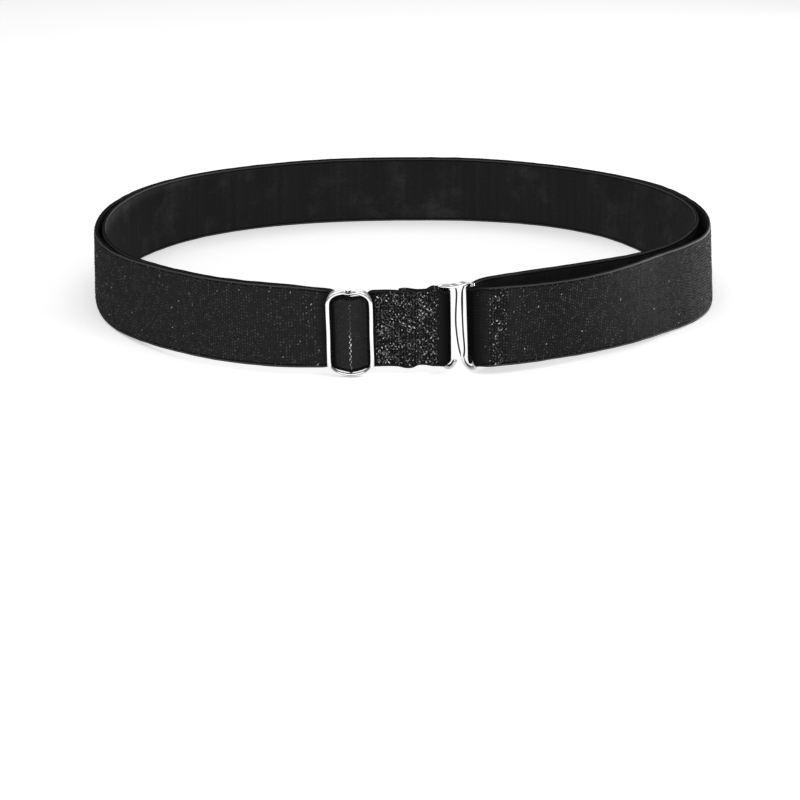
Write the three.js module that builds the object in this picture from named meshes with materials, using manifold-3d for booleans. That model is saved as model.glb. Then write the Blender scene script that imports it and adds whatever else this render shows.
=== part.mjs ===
// Shirt tuck belt: one elastic strap run double round the loop, a wire slider and a hook.
// Millimetres, +X right, +Y away from the viewer, +Z up, the floor at z = 0.
import * as THREE from 'three';
import Module from 'manifold-3d';

const wasm = await Module();
wasm.setup();

// Strap
const STRAP_WIDTH = 30;
const STRAP_THICK = 1.2;
const EDGE_CHAMFER = 0.2;
const RUN_STEP = 6.6;
const HALF_THICK = STRAP_THICK / 2;

// The slider's wire holds the front of the loop off the floor.
const LIFT = { height: 3.2, full_at_y: -130, none_at_y: -46 };

// Slider: an upright wire ring, its foot a little forward, whose centre bar is set back from it.
const SLIDER = {
  x: -18.6, y: -123.3, foot_forward: 1.1, slant: 0.021, wire: 0.8, bar_wire: 0.65, bar_back: 1.9,
  half_width: 7.45, bottom: 0.8, top: 30.45, notch: 0.5, notch_x: -0.4,
  top_corner_x: 5.4, top_corner_z: 4.0, bottom_corner_z: 4.2,
};

// Hook: a closed ring for the strap's bend on the right, an open bar for its sewn end.
const HOOK = { y: -119.4, wire: 0.9, left_wire: 0.85, arm_end_wire: 0.6, foot_wire: 0.7, plate: 1.3 };

// Bends of the strap round the three bars, radius to the middle of the strap.
const SLIDER_BEND = { x: SLIDER.x, y: SLIDER.y + SLIDER.bar_back, radius: 1.6 };
const RIGHT_BEND = { x: 24.5, y: HOOK.y, radius: 1.85 };
const LEFT_BEND = { x: 14.1, y: HOOK.y, radius: 1.85 };

// Outer layer, seen from above: angle round the loop, radius of its outer face at the
// lower edge, and how far the upper edge leans outward from there.
const OUTER_RUN = [
  { angle: 288, foot: 125.8, lean: 3.6 },
  { angle: 296, foot: 124.2, lean: 4.0 },
  { angle: 305, foot: 122.8, lean: 1.8 },
  { angle: 315, foot: 121.6, lean: -1.6 },
  { angle: 325, foot: 121.5, lean: -4.2 },
  { angle: 335, foot: 124.3, lean: -5.0 },
  { angle: 345, foot: 125.9, lean: -3.2 },
  { angle: 360, foot: 126.0, lean: -1.4 },
  { angle: 375, foot: 127.8, lean: -0.8 },
  { angle: 390, foot: 130.7, lean: -0.6 },
  { angle: 405, foot: 132.4, lean: -2.0 },
  { angle: 420, foot: 134.2, lean: -3.4 },
  { angle: 435, foot: 131.6, lean: -0.2 },
  { angle: 450, foot: 128.6, lean: 0.6 },
  { angle: 465, foot: 129.1, lean: 0.4 },
  { angle: 480, foot: 131.0, lean: -1.8 },
  { angle: 495, foot: 131.2, lean: -1.7 },
  { angle: 510, foot: 129.0, lean: -0.7 },
  { angle: 525, foot: 126.9, lean: -1.4 },
  { angle: 540, foot: 125.2, lean: -1.2 },
  { angle: 555, foot: 125.2, lean: -0.8 },
  { angle: 570, foot: 127.0, lean: -1.3 },
  { angle: 585, foot: 129.2, lean: -1.8 },
  { angle: 600, foot: 131.5, lean: -0.6 },
  { angle: 609, foot: 130.6, lean: 0.3 },
];

// Inner layer, from the slider back to the hook: radius of its inner face.
const INNER_RUN = [
  { angle: 609, foot: 127.6, lean: 0.3 },
  { angle: 600, foot: 128.6, lean: -0.6 },
  { angle: 585, foot: 126.2, lean: -1.8 },
  { angle: 570, foot: 123.0, lean: -1.3 },
  { angle: 555, foot: 121.1, lean: -1.0 },
  { angle: 540, foot: 121.0, lean: -1.2 },
  { angle: 525, foot: 123.0, lean: -1.3 },
  { angle: 510, foot: 126.0, lean: -0.7 },
  { angle: 495, foot: 128.3, lean: -1.7 },
  { angle: 480, foot: 128.1, lean: -1.8 },
  { angle: 465, foot: 126.2, lean: 0.4 },
  { angle: 450, foot: 125.5, lean: 0.6 },
  { angle: 435, foot: 128.6, lean: -0.2 },
  { angle: 420, foot: 131.2, lean: -3.4 },
  { angle: 405, foot: 128.9, lean: -1.3 },
  { angle: 390, foot: 122.4, lean: 3.8 },
  { angle: 375, foot: 120.4, lean: 2.6 },
  { angle: 360, foot: 117.2, lean: 2.0 },
  { angle: 348, foot: 114.4, lean: 1.4 },
  { angle: 336, foot: 111.2, lean: 1.0 },
  { angle: 324, foot: 108.0, lean: 0.6 },
  { angle: 312, foot: 105.4, lean: 0.3 },
  { angle: 300, foot: 106.0, lean: 0.2 },
  { angle: 292, foot: 108.8, lean: 0 },
];

// Sections at the slider and the hook: middle of the strap, heights of the lower and
// upper edge, and how far the lower edge is set to the right of x (the upper to the left).
const INNER_AT_SLIDER = [
  { x: -32.0, y: -118.5, foot: 3.4, top: 30.6, slant: 0.1 },
  { x: -27.0, y: -118.1, foot: 3.4, top: 30.2, slant: 0.2 },
  { x: -24.3, y: -118.2, foot: 3.5, top: 29.7, slant: 0.27 },
  { x: -21.2, y: -119.3, foot: 3.4, top: 29.5, slant: 0.27 },
  { x: -19.3, y: -119.75, foot: 3.3, top: 29.2, slant: 0.27 },
];
const OUT_OF_SLIDER = [
  { x: -20.5, y: -122.25, foot: 3.2, top: 27.5, slant: 0.27 },
  { x: -22.3, y: -120.85, foot: 3.3, top: 29.6, slant: 0.27 },
  { x: -24.6, y: -119.95, foot: 3.3, top: 30.8, slant: 0.27 },
  { x: -27.0, y: -119.8, foot: 3.2, top: 31.1, slant: 0.2 },
  { x: -31.5, y: -120.2, foot: 3.1, top: 31.5, slant: 0.1 },
  { x: -38.0, y: -120.45, foot: 3.1, top: 32.5, slant: 0 },
];
const INTO_HOOK = [
  { x: 33.1, y: -108.2, foot: 2.9, top: 32.8, slant: 0 },
  { x: 28.8, y: -110.9, foot: 3.0, top: 32.7, slant: 0.1 },
  { x: 26.1, y: -113.4, foot: 3.1, top: 32.5, slant: 0.2 },
];
const OUT_OF_HOOK = [
  { x: 27.0, y: -121.4, foot: 3.0, top: 32.0, slant: 0.2 },
  { x: 31.0, y: -121.4, foot: 3.0, top: 32.1, slant: 0.1 },
];
const THROUGH_SLIDER = [
  { x: -38.0, y: -122.15, foot: 2.95, top: 32.6, slant: 0 },
  { x: -31.5, y: -121.9, foot: 2.9, top: 31.9, slant: 0.1 },
  { x: -28.2, y: -121.7, foot: 2.9, top: 31.4, slant: 0.2 },
  { x: -25.7, y: -121.4, foot: 3.0, top: 31.0, slant: 0.27 },
  { x: -23.6, y: -122.0, foot: 2.4, top: 28.0, slant: 0.27 },
  { x: -21.2, y: -123.6, foot: 2.2, top: 29.3, slant: 0.27 },
  { x: -18.5, y: -124.6, foot: 1.95, top: 28.7, slant: 0.27 },
  { x: -15.8, y: -123.6, foot: 2.2, top: 29.2, slant: 0.27 },
  { x: -13.4, y: -121.8, foot: 2.6, top: 28.7, slant: 0.27 },
  { x: -11.2, y: -121.4, foot: 3.0, top: 30.6, slant: 0.27 },
  { x: -8.0, y: -121.5, foot: 3.2, top: 30.9, slant: 0.2 },
  { x: -4.0, y: -121.3, foot: 3.2, top: 30.9, slant: 0.1 },
  { x: -1.4, y: -121.3, foot: 3.0, top: 30.8, slant: 0.1 },
  { x: 0.4, y: -121.5, foot: 2.6, top: 31.2, slant: 0.1 },
  { x: 3.0, y: -121.4, foot: 2.6, top: 31.0, slant: 0.1 },
  { x: 5.2, y: -121.1, foot: 3.5, top: 30.5, slant: 0.1 },
  { x: 7.6, y: -121.1, foot: 3.5, top: 31.0, slant: 0.1 },
  { x: 10.0, y: -121.2, foot: 3.1, top: 32.3, slant: 0.15 },
  { x: 12.0, y: -121.25, foot: 3.1, top: 32.1, slant: 0.2 },
];
const SEWN_END = [
  { x: 11.5, y: -117.5, foot: 3.1, top: 30.6, slant: 0.2 },
  { x: 8.0, y: -118.7, foot: 3.3, top: 30.6, slant: 0.1 },
  { x: 4.5, y: -119.4, foot: 3.3, top: 30.6, slant: 0.1 },
  { x: 0.5, y: -119.75, foot: 2.8, top: 31.1, slant: 0.1 },
  { x: -1.6, y: -119.75, foot: 3.0, top: 30.9, slant: 0.1 },
];

function liftAt(y) {
  const t = Math.min(Math.max((LIFT.none_at_y - y) / (LIFT.none_at_y - LIFT.full_at_y), 0), 1);
  return LIFT.height * t * t * (3 - 2 * t);
}

// One section of the strap: the middle of its lower and of its upper edge.
function section(footX, footY, topX, topY, footZ, topZ) {
  return { foot: new THREE.Vector3(footX, footY, footZ), top: new THREE.Vector3(topX, topY, topZ) };
}

function roundTheLoop(rows, toMiddle) {
  return rows.map(({ angle, foot, lean }) => {
    const a = THREE.MathUtils.degToRad(angle);
    const low = foot + toMiddle;
    const high = low + lean;
    const [c, s] = [Math.cos(a), Math.sin(a)];
    const z = liftAt(low * s);
    return section(low * c, low * s, high * c, high * s, z, z + STRAP_WIDTH);
  });
}

function across(rows) {
  return rows.map(({ x, y, foot, top, slant }) => section(x + slant, y, x - slant, y, foot, top));
}

// A bend round a bar, from one angle to the other; the edges pull in at the middle.
function bend(round, from, to, foot, top, pull, slant, steps = 8) {
  const out = [];
  for (let i = 0; i <= steps; i += 1) {
    const t = i / steps;
    const a = THREE.MathUtils.degToRad(from + (to - from) * t);
    const inward = Math.sin(Math.PI * t);
    const x = round.x + round.radius * Math.cos(a);
    const y = round.y + round.radius * Math.sin(a);
    out.push(section(x + slant, y, x - slant, y, foot + pull.foot * inward, top - pull.top * inward));
  }
  return out;
}

const strapSections = [
  ...across(INNER_AT_SLIDER),
  ...bend(SLIDER_BEND, 90, -90, 3.2, 27.2, { foot: 0, top: 0 }, 0.27),
  ...across(OUT_OF_SLIDER),
  ...roundTheLoop(INNER_RUN, HALF_THICK),
  ...across(INTO_HOOK),
  ...bend(RIGHT_BEND, 146, 270, 3.2, 31.6, { foot: 3.4, top: 0.2 }, 0.5),
  ...across(OUT_OF_HOOK),
  ...roundTheLoop(OUTER_RUN, -HALF_THICK),
  ...across(THROUGH_SLIDER),
  ...bend(LEFT_BEND, 270, 450, 3.1, 30.4, { foot: 1.4, top: 0.1 }, 0.25),
  ...across(SEWN_END),
];

// Strap: a flat band swept through the sections, closed at both ends.
function sweepStrap(sections) {
  const low = new THREE.CatmullRomCurve3(sections.map((s) => s.foot), false, 'centripetal');
  const high = new THREE.CatmullRomCurve3(sections.map((s) => s.top), false, 'centripetal');
  const stops = [0];
  for (let i = 1; i < sections.length; i += 1) {
    const length = sections[i].foot.distanceTo(sections[i - 1].foot);
    const parts = Math.max(1, Math.round(length / RUN_STEP), length > 1.6 ? 2 : 1);
    for (let k = 1; k <= parts; k += 1) stops.push((i - 1 + k / parts) / (sections.length - 1));
  }
  const flat = (curve, t) => {
    const d = curve.getTangent(t);
    return new THREE.Vector3(-d.y, d.x, 0).normalize();
  };
  const h = HALF_THICK;
  const c = EDGE_CHAMFER;
  const positions = [];
  for (const t of stops) {
    const [a, b] = [low.getPoint(t), high.getPoint(t)];
    const [na, nb] = [flat(low, t), flat(high, t)];
    const up = b.clone().sub(a).normalize();
    const corner = (p, n, side, rise) => {
      const q = p.clone().addScaledVector(n, side).addScaledVector(up, rise);
      positions.push(q.x, q.y, Math.max(q.z, 0));
    };
    corner(a, na, -h + c, 0);
    corner(a, na, h - c, 0);
    corner(a, na, h, c);
    corner(b, nb, h, -c);
    corner(b, nb, h - c, 0);
    corner(b, nb, -h + c, 0);
    corner(b, nb, -h, -c);
    corner(a, na, -h, c);
  }
  return ringsToGeometry(positions, 8, false);
}

// Rings of points joined into a closed surface, with flat ends or closed on itself.
function ringsToGeometry(positions, sides, closed) {
  const rings = positions.length / 3 / sides;
  const index = [];
  const last = closed ? rings : rings - 1;
  for (let r = 0; r < last; r += 1) {
    const s = (r + 1) % rings;
    for (let k = 0; k < sides; k += 1) {
      const m = (k + 1) % sides;
      index.push(r * sides + k, r * sides + m, s * sides + m);
      index.push(r * sides + k, s * sides + m, s * sides + k);
    }
  }
  if (!closed) {
    const end = (rings - 1) * sides;
    for (let k = 1; k < sides - 1; k += 1) {
      index.push(0, k + 1, k);
      index.push(end, end + k, end + k + 1);
    }
  }
  const geometry = new THREE.BufferGeometry();
  geometry.setAttribute('position', new THREE.Float32BufferAttribute(positions, 3));
  geometry.setIndex(index);
  return geometry;
}

// A round wire along a smooth path; it may get thinner after a share of its length.
function wire(points, radius, closed = false, samples = 40, sides = 12, endRadius = radius, taperFrom = 1) {
  const curve = new THREE.CatmullRomCurve3(points, closed, 'centripetal');
  const frames = curve.computeFrenetFrames(samples, closed);
  const positions = [];
  const rings = closed ? samples : samples + 1;
  for (let i = 0; i < rings; i += 1) {
    const p = curve.getPointAt(i / samples);
    const thin = THREE.MathUtils.smoothstep(i / samples, taperFrom - 0.1, taperFrom + 0.1);
    const r = THREE.MathUtils.lerp(radius, endRadius, thin);
    for (let k = 0; k < sides; k += 1) {
      const a = (2 * Math.PI * k) / sides;
      const n = frames.normals[i].clone().multiplyScalar(Math.cos(a) * r);
      n.addScaledVector(frames.binormals[i], Math.sin(a) * r);
      positions.push(p.x + n.x, p.y + n.y, p.z + n.z);
    }
  }
  return ringsToGeometry(positions, sides, closed);
}

function toSolid(geometry) {
  const mesh = new wasm.Mesh({
    numProp: 3,
    vertProperties: new Float32Array(geometry.getAttribute('position').array),
    triVerts: new Uint32Array(geometry.getIndex().array),
  });
  const solid = new wasm.Manifold(mesh);
  if (solid.volume() < 0) throw new Error('a surface is inside out');
  return solid;
}

function join(geometries) {
  const solid = geometries.map(toSolid).reduce((all, one) => all.add(one));
  const mesh = solid.getMesh();
  const joined = new THREE.BufferGeometry();
  joined.setAttribute('position', new THREE.Float32BufferAttribute(mesh.vertProperties, mesh.numProp));
  joined.setIndex(new THREE.Uint32BufferAttribute(mesh.triVerts, 1));
  return joined;
}

// Points of a figure drawn on an upright plane: [x, z] pairs, y from the plane.
function upright(rows, y, slant = 0, centre = 0) {
  return rows.map(([x, z, back = 0]) => new THREE.Vector3(x - slant * (z - centre), y + back, z));
}

function quarter(cx, cz, rx, rz, from, to, steps = 5) {
  const out = [];
  for (let i = 0; i <= steps; i += 1) {
    const a = THREE.MathUtils.degToRad(from + ((to - from) * i) / steps);
    out.push([cx + rx * Math.cos(a), cz + rz * Math.sin(a)]);
  }
  return out;
}

// Slider
function buildSlider() {
  const s = SLIDER;
  const w = s.half_width;
  const mid = (s.top + s.bottom) / 2;
  const place = (rows) => upright(rows.map(([x, z, b]) => [s.x + x, z, b]), s.y, s.slant, mid);
  const forward = s.foot_forward / (s.top - s.bottom);
  const leaning = (rows) => place(rows.map(([x, z]) => [x, z, forward * (z - s.top)]));
  const lowZ = s.bottom + s.bottom_corner_z;
  const highZ = s.top - s.top_corner_z;
  const notchZ = s.top - s.notch;
  const ring = [
    ...quarter(0, lowZ, w, s.bottom_corner_z, 180, 360, 12),
    [w, (lowZ + highZ) / 2],
    ...quarter(w - s.top_corner_x, highZ, s.top_corner_x, s.top_corner_z, 0, 90),
    [s.notch_x + 1.3, s.top + 0.2],
    [s.notch_x, notchZ],
    [s.notch_x - 1.1, s.top - 0.1],
    ...quarter(s.top_corner_x - w, highZ, s.top_corner_x, s.top_corner_z, 90, 180),
    [-w, (lowZ + highZ) / 2],
  ];
  const leftLobe = [
    [-w, 24.0], [-w - 0.1, 26.4], [-w + 1.3, 29.6], [-w + 3.6, 30.9], [-1.6, 30.6], [-0.4, notchZ],
  ];
  const rightLobe = [
    [w, 24.0], [w + 0.1, 26.4], [w - 1.1, 29.4], [w - 3.4, 30.9], [1.6, 31.0], [0.2, 30.3],
  ];
  const bar = [
    [0, notchZ - 0.2], [0, notchZ - 0.7, s.bar_back * 0.6],
    [0, notchZ - 1.7, s.bar_back], [0, notchZ - 3.9, s.bar_back],
    [0, s.bottom + 3, s.bar_back], [0, s.bottom + 1.3, s.bar_back],
    [0, s.bottom + 0.2, s.bar_back * 0.4], [0, s.bottom, -s.foot_forward],
  ];
  return join([
    wire(leaning(ring), s.wire, true, 64),
    wire(leaning(leftLobe), s.wire * 0.9, false, 18),
    wire(leaning(rightLobe), s.wire * 0.85, false, 18),
    wire(place(bar), s.bar_wire, false, 22, 10),
  ]);
}

// Hook
function buildHook() {
  const y = HOOK.y;
  const r = HOOK.wire;
  const topArm = [
    [11.8, 29.6], [11.9, 30.9], [13.2, 31.5], [16.0, 31.5], [18.8, 31.9],
    [21.2, 32.6], [22.9, 32.9], [23.9, 32.5], [23.95, 31.4],
  ];
  const leftBar = [
    [11.8, 29.9], [12.9, 18.0], [14.0, 6.0], [14.4, 3.3], [15.4, 2.4], [16.9, 2.8], [18.0, 4.4],
  ];
  const rightBar = [
    [23.95, 31.8], [24.45, 16.0], [25.0, 4.6], [25.1, 2.6], [24.2, 1.8],
    [22.9, 2.3], [21.8, 3.4], [21.0, 4.8], [20.6, 6.6], [20.6, 8.6],
  ];
  const middle = new THREE.Shape();
  middle.moveTo(17.9, 31.8);
  middle.lineTo(18.1, 29.4);
  middle.lineTo(18.0, 17.5);
  middle.lineTo(19.9, 6.6);
  middle.lineTo(20.9, 5.4);
  middle.lineTo(21.6, 6.8);
  middle.lineTo(20.6, 17.5);
  middle.lineTo(20.0, 29.4);
  middle.lineTo(20.9, 32.4);
  middle.closePath();
  const plate = new THREE.ExtrudeGeometry(middle, {
    depth: HOOK.plate - 0.4, bevelSegments: 1, bevelThickness: 0.2, bevelSize: 0.2, bevelOffset: -0.2,
  });
  plate.rotateX(Math.PI / 2);
  plate.translate(0, y + (HOOK.plate - 0.4) / 2, 0);
  return join([
    wire(upright(topArm, y), r, false, 32, 12, HOOK.arm_end_wire, 0.8),
    wire(upright(leftBar, y), HOOK.left_wire, false, 32),
    wire(upright(rightBar, y), r, false, 40, 12, HOOK.foot_wire, 0.8),
    welded(plate),
  ]);
}

// Merges the doubled corners of an extruded shape so that its surface is closed.
function welded(geometry) {
  const source = geometry.getAttribute('position');
  const seen = new Map();
  const positions = [];
  const index = [];
  for (let i = 0; i < source.count; i += 1) {
    const p = [source.getX(i), source.getY(i), source.getZ(i)];
    const key = p.map((v) => Math.round(v * 1e4)).join(',');
    if (!seen.has(key)) {
      seen.set(key, positions.length / 3);
      positions.push(...p);
    }
    index.push(seen.get(key));
  }
  const out = new THREE.BufferGeometry();
  out.setAttribute('position', new THREE.Float32BufferAttribute(positions, 3));
  out.setIndex(index);
  return out;
}

function part(name, geometry, color, metalness, roughness) {
  const material = new THREE.MeshStandardMaterial({ color, metalness, roughness });
  const mesh = new THREE.Mesh(geometry, material);
  mesh.name = name;
  mesh.geometry.computeVertexNormals();
  return mesh;
}

// The outline of the whole belt is centred on the origin.
const TO_CENTRE = { x: -0.4, y: -2.1 };

const group = new THREE.Group();
group.name = 'shirt_tuck_belt';
group.add(part('elastic_strap', sweepStrap(strapSections), 0x1c1c1e, 0, 0.85));
group.add(part('slide_adjuster', buildSlider(), 0xd8dadc, 1, 0.2));
group.add(part('hook_clasp', buildHook(), 0xd8dadc, 1, 0.2));
for (const mesh of group.children) mesh.geometry.translate(TO_CENTRE.x, TO_CENTRE.y, 0);

export default group;
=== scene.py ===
import math

import bpy
import numpy as np
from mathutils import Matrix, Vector, noise


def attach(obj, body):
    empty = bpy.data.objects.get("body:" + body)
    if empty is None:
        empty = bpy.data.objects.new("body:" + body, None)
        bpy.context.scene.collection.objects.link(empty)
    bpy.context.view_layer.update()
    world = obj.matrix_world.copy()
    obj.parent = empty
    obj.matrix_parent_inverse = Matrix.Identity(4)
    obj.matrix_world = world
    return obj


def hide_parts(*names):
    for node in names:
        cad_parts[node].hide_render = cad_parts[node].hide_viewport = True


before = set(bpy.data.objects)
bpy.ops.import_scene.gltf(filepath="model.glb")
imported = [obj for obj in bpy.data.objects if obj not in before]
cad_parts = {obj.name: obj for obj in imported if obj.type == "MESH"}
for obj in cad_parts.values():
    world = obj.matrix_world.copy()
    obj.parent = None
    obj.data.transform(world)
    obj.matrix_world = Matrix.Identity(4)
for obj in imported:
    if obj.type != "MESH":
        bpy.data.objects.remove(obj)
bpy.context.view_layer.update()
scene = bpy.context.scene
scene.view_settings.view_transform = "Standard"

# Studio: the belt stands on a plain sheet of white acrylic that glows as if lit from below, brighter towards
# the front as painted light, and runs out of sight, under soft boxes above and behind, with a low strip box
# at its right side.
camera_data = bpy.data.cameras.new("belt_camera")
camera_data.sensor_width = 36
camera_data.lens = 85
camera = bpy.data.objects.new("belt_camera", camera_data)
camera.location = (-0.0016, -0.7564, 0.1964)
camera.rotation_euler = (math.radians(72), 0, 0)
scene.collection.objects.link(camera)
scene.camera = camera


def soft_box(name, place, aim, width, depth, watts):
    lamp = bpy.data.lights.new(name, "AREA")
    lamp.shape = "RECTANGLE"
    lamp.size, lamp.size_y, lamp.energy = width, depth, watts
    box = bpy.data.objects.new(name, lamp)
    box.location = place
    box.rotation_euler = (Vector(aim) - Vector(place)).to_track_quat("-Z", "Y").to_euler()
    box.visible_camera = False
    scene.collection.objects.link(box)


soft_box("box_above", (-0.05, -0.85, 1.25), (0, -0.1, 0), 1.5, 1.0, 7.5)
soft_box("strip_right", (0.79, 0.53, 0.035), (0.1, -0.02, 0.015), 0.5, 0.05, 17)
soft_box("box_behind", (0.0, 0.8, 1.3), (0, 0, 0), 1.5, 0.9, 7)

room = bpy.data.worlds.new("studio_room")
room.use_nodes = True
room.node_tree.nodes["Background"].inputs["Color"].default_value = (1, 1, 1, 1)
room.node_tree.nodes["Background"].inputs["Strength"].default_value = 0.28
scene.world = room


class Strand:
    """One output of a finish's nodes; arithmetic on it adds Math nodes."""

    def __init__(self, finish, socket):
        self.finish, self.socket = finish, socket

    def _math(self, operation, *values):
        return self.finish.node("ShaderNodeMath", {"operation": operation}, dict(enumerate(values)))

    def __add__(self, other):
        return self._math("ADD", self, other)

    def __sub__(self, other):
        return self._math("SUBTRACT", self, other)

    def __rsub__(self, other):
        return self._math("SUBTRACT", other, self)

    def __mul__(self, other):
        return self._math("MULTIPLY", self, other)

    def __pow__(self, other):
        return self._math("POWER", self, other)

    def fade(self, low, high):
        """0 below low, 1 above high, smooth between; low may be the larger."""
        return self.finish.node(
            "ShaderNodeMapRange", {"interpolation_type": "SMOOTHSTEP"},
            {"Value": self, "From Min": low, "From Max": high},
        )

    __radd__, __rmul__ = __add__, __mul__


class Finish:
    """A material of the belt, built from nodes."""

    def __init__(self, name, **constants):
        self.material = bpy.data.materials.new(name)
        self.material.use_nodes = True
        self.tree = self.material.node_tree
        self.shader = self.tree.nodes["Principled BSDF"]
        for socket, value in constants.items():
            self.shader.inputs[socket.replace("_", " ")].default_value = value

    def node(self, kind, settings=None, sockets=None, output=0):
        made = self.tree.nodes.new(kind)
        for key, value in (settings or {}).items():
            setattr(made, key, value)
        for key, value in (sockets or {}).items():
            self.feed(made.inputs[key], value)
        return Strand(self, made.outputs[output])

    def feed(self, socket, value):
        if isinstance(value, Strand):
            self.tree.links.new(value.socket, socket)
        else:
            socket.default_value = value

    def mix(self, share, first, second):
        return self.node(
            "ShaderNodeMix", {"data_type": "RGBA"}, {"Factor": share, 6: first, 7: second}, output=2
        )

    def vary(self, **links):
        for socket, value in links.items():
            self.feed(self.shader.inputs[socket.replace("_", " ")], value)

    def relief(self, height, depth):
        self.vary(Normal=self.node("ShaderNodeBump", {}, {"Height": height, "Distance": depth}))


def show(piece_name, vertices, faces, finish):
    """A smooth-shaded piece from its corners and faces."""
    mesh = bpy.data.meshes.new(piece_name)
    mesh.from_pydata([tuple(v) for v in vertices], [], faces)
    mesh.polygons.foreach_set("use_smooth", [True] * len(mesh.polygons))
    mesh.materials.append(finish.material)
    piece = bpy.data.objects.new(piece_name, mesh)
    scene.collection.objects.link(piece)
    return piece


acrylic = Finish("glowing_white_acrylic", Roughness=0.9, Specular_IOR_Level=0.1, Emission_Strength=0.62)
haze = acrylic.node("ShaderNodeTexNoise", {}, {"Scale": 60.0, "Detail": 4.0})
sheet_place = acrylic.node("ShaderNodeTexCoord", {}, {}, output=3)
# Painted light: the sheet's glow is brighter towards the front of the belt.
painted_front_glow = acrylic.node("ShaderNodeSeparateXYZ", {}, {"Vector": sheet_place}, output=1).fade(-0.04, -0.12)
acrylic.vary(
    Base_Color=acrylic.mix(haze, (0.86, 0.86, 0.86, 1), (0.9, 0.9, 0.9, 1)),
    Emission_Color=acrylic.mix(painted_front_glow, (0.66, 0.66, 0.66, 1), (1, 1, 1, 1)),
)
floor = show("floor_sheet", [(-6, -6, 0), (6, -6, 0), (6, 6, 0), (-6, 6, 0)], [(0, 1, 2, 3)], acrylic)

# Elastic strap: one length of flat knitted black elastic, 30 mm wide, with rounded selvedges.
# It starts sewn behind the slider's bar, runs round inside to the hook, folds over the hook's
# bar, runs back round outside through the slider and ends sewn behind the hook's open bar.
mm = 0.001
strap_width, strap_thick = 30, 1.2
selvedge_depth, selvedge_width, selvedge_fade = 0.5, 1.2, 1.5
bend_steps = 8
rib_pitch = 1.0
rib_height = 0.05
to_centre = np.array([-0.4, -2.1, 0.0])
bar_of_slider = (-18.6, -121.4, 1.6)
bar_right = (24.5, -119.4, 1.85)
bar_left = (14.1, -119.4, 1.85)
lift_height, lift_full_y, lift_none_y = 3.2, -130.0, -46.0

# Outer layer: angle round the loop, radius of the outer face at the foot, outward lean of the top.
outer_layer = [
    (288, 125.8, 3.6), (296, 124.2, 4.0), (305, 122.8, 1.8), (315, 121.6, -1.6), (325, 121.5, -4.2),
    (335, 124.3, -5.0), (345, 125.9, -3.2), (360, 126.0, -1.4), (375, 127.8, -0.8), (390, 130.7, -0.6),
    (405, 132.4, -2.0), (420, 134.2, -3.4), (435, 131.6, -0.2), (450, 128.6, 0.6), (465, 129.1, 0.4),
    (480, 131.0, -1.8), (495, 131.2, -1.7), (510, 129.0, -0.7), (525, 126.9, -1.4), (540, 125.2, -1.2),
    (555, 125.2, -0.8), (570, 127.0, -1.3), (585, 129.2, -1.8), (600, 131.5, -0.6), (609, 130.6, 0.3),
]
# Inner layer, back from the slider to the hook: the same, with the radius of the inner face.
inner_layer = [
    (609, 127.6, 0.3), (600, 128.6, -0.6), (585, 126.2, -1.8), (570, 123.0, -1.3), (555, 121.1, -1.0),
    (540, 121.0, -1.2), (525, 123.0, -1.3), (510, 126.0, -0.7), (495, 128.3, -1.7), (480, 128.1, -1.8),
    (465, 126.2, 0.4), (450, 125.5, 0.6), (435, 128.6, -0.2), (420, 131.2, -3.4), (405, 128.9, -1.3),
    (390, 122.4, 3.8), (375, 120.4, 2.6), (360, 117.2, 2.0), (348, 114.4, 1.4), (336, 111.2, 1.0),
    (324, 108.0, 0.6), (312, 105.4, 0.3), (300, 106.0, 0.2), (292, 108.8, 0.0),
]
# Sections at the metal: x, y, height of the foot, height of the top, slant.
tail_behind_slider = [
    (-32.0, -118.5, 3.4, 30.6, 0.1), (-27.0, -118.1, 3.4, 30.2, 0.2), (-24.3, -118.2, 3.5, 29.7, 0.27),
    (-21.2, -119.3, 3.4, 29.5, 0.27), (-19.3, -119.75, 3.3, 29.2, 0.27),
]
out_of_slider = [
    (-20.5, -122.25, 3.2, 27.5, 0.27), (-22.3, -120.85, 3.3, 29.6, 0.27), (-24.6, -119.95, 3.3, 30.8, 0.27),
    (-27.0, -119.8, 3.2, 31.1, 0.2), (-31.5, -120.2, 3.1, 31.5, 0.1), (-38.0, -120.45, 3.1, 32.5, 0.0),
]
into_hook = [(33.1, -108.2, 2.9, 32.8, 0.0), (28.8, -110.9, 3.0, 32.7, 0.1), (26.1, -113.4, 3.1, 32.5, 0.2)]
out_of_hook = [(27.0, -121.4, 3.0, 32.0, 0.2), (31.0, -121.4, 3.0, 32.1, 0.1)]
through_slider = [
    (-38.0, -122.15, 2.95, 32.6, 0.0), (-31.5, -121.9, 2.9, 31.9, 0.1), (-28.2, -121.7, 2.9, 31.4, 0.2),
    (-25.7, -121.4, 3.0, 31.0, 0.27), (-23.6, -122.0, 2.4, 28.0, 0.27), (-21.2, -123.6, 2.2, 29.3, 0.27),
    (-18.5, -124.6, 1.95, 29.2, 0.27), (-15.8, -123.6, 2.2, 29.2, 0.27), (-13.4, -121.8, 2.6, 28.9, 0.27),
    (-11.2, -121.4, 3.0, 30.6, 0.27), (-8.0, -121.5, 3.2, 30.9, 0.2), (-4.0, -121.3, 3.2, 30.9, 0.1),
    (-1.4, -121.3, 3.0, 30.8, 0.1), (0.4, -121.5, 2.6, 31.2, 0.1), (3.0, -121.4, 2.6, 31.0, 0.1),
    (5.2, -121.1, 3.5, 30.5, 0.1), (7.6, -121.1, 3.5, 31.0, 0.1), (10.0, -121.2, 3.1, 32.3, 0.15),
    (12.0, -121.25, 3.1, 32.1, 0.2),
]
sewn_end = [
    (11.5, -117.5, 3.1, 30.6, 0.2), (8.0, -118.7, 3.3, 30.6, 0.1), (4.5, -119.4, 3.3, 30.6, 0.1),
    (0.5, -119.75, 2.8, 31.1, 0.1), (-1.6, -119.75, 3.0, 30.9, 0.1),
]


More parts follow.
